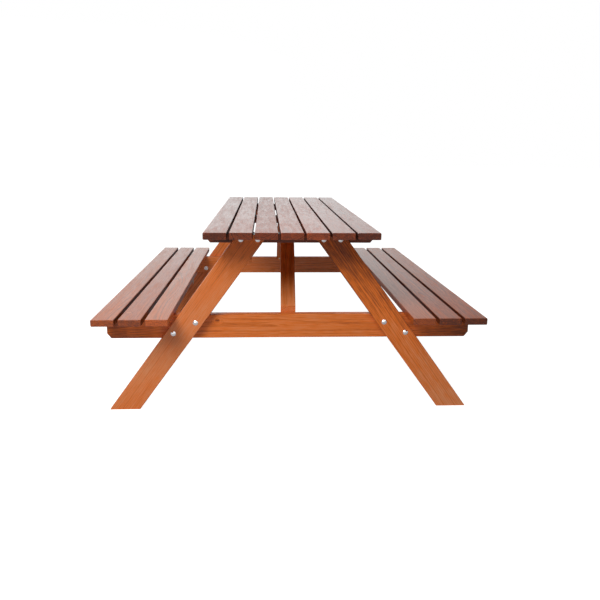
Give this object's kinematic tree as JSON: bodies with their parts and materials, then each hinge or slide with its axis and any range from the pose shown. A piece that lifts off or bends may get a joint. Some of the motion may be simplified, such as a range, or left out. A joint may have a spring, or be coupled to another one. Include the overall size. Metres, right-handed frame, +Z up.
{
  "type": "picnic table",
  "caption": "Wooden A-frame picnic table with a slatted top and a slatted bench on each side, bolted sloping legs and diagonal braces.",
  "frame": {"origin": "on the ground below the middle of the table top", "axes": "+X to the right across the benches, +Y along the boards, +Z up"},
  "size_m": [1.478, 1.8, 0.731],
  "materials": {
    "top_wood": "semi-gloss red-brown stain with a pale sheen",
    "seat_wood": "semi-gloss red-brown stain with a pale sheen",
    "frame_wood": "semi-gloss orange-brown stain, straight pine grain",
    "zinc_steel": "bright zinc plating",
    "screw_steel": "yellow zinc plating"
  },
  "bodies": {
    "root": {"top_board_1": "top_wood", "top_board_2": "top_wood", "top_board_3": "top_wood", "top_board_4": "top_wood", "top_board_5": "top_wood", "top_board_6": "top_wood", "top_board_7": "top_wood", "left_seat_board_1": "seat_wood", "left_seat_board_2": "seat_wood", "left_seat_board_3": "seat_wood", "right_seat_board_1": "seat_wood", "right_seat_board_2": "seat_wood", "right_seat_board_3": "seat_wood", "leg_front_left": "frame_wood", "leg_front_right": "frame_wood", "leg_back_left": "frame_wood", "leg_back_right": "frame_wood", "seat_beam_front": "frame_wood", "seat_beam_back": "frame_wood", "top_cleat_front": "frame_wood", "top_cleat_middle": "frame_wood", "top_cleat_back": "frame_wood", "seat_batten_left": "frame_wood", "seat_batten_right": "frame_wood", "brace_front": "frame_wood", "brace_back": "frame_wood", "beam_bolts_front": "zinc_steel", "beam_bolts_back": "zinc_steel", "cleat_bolts_front": "zinc_steel", "cleat_bolts_back": "zinc_steel", "washers_front": "zinc_steel", "washers_back": "zinc_steel", "nuts_front": "zinc_steel", "nuts_back": "zinc_steel", "top_screws_front": "screw_steel", "top_screws_middle": "screw_steel", "top_screws_back": "screw_steel", "seat_screws_left": "screw_steel", "seat_screws_right": "screw_steel", "brace_screws_front": "screw_steel", "brace_screws_back": "screw_steel"}
  },
  "joints": []
}
